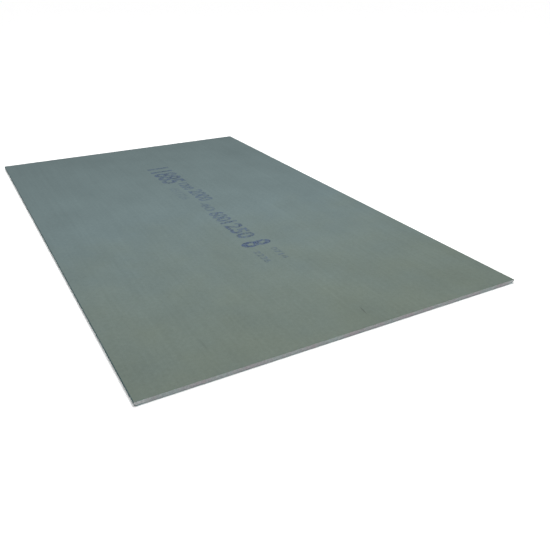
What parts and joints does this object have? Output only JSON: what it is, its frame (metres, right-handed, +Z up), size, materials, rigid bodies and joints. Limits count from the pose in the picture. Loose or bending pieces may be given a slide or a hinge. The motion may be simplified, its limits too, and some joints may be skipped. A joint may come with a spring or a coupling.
{
  "type": "moisture-resistant plasterboard",
  "caption": "Flat rectangular gypsum board, back side up: coloured face liner folded round tapered half-round long edges, grey-green back liner, square-cut ends.",
  "frame": {"origin": "middle of the underside, which is the coloured face of the sheet", "axes": "+X across the width, +Y along the length, +Z up through the thickness, out of the grey-green back"},
  "size_m": [1.2, 2, 0.0125],
  "materials": {
    "gypsum": "matte",
    "face_paper": "matte",
    "back_paper": "matte"
  },
  "bodies": {
    "root": {"gypsum_core": "gypsum", "face_liner": "face_paper", "back_liner": "back_paper"}
  },
  "joints": []
}
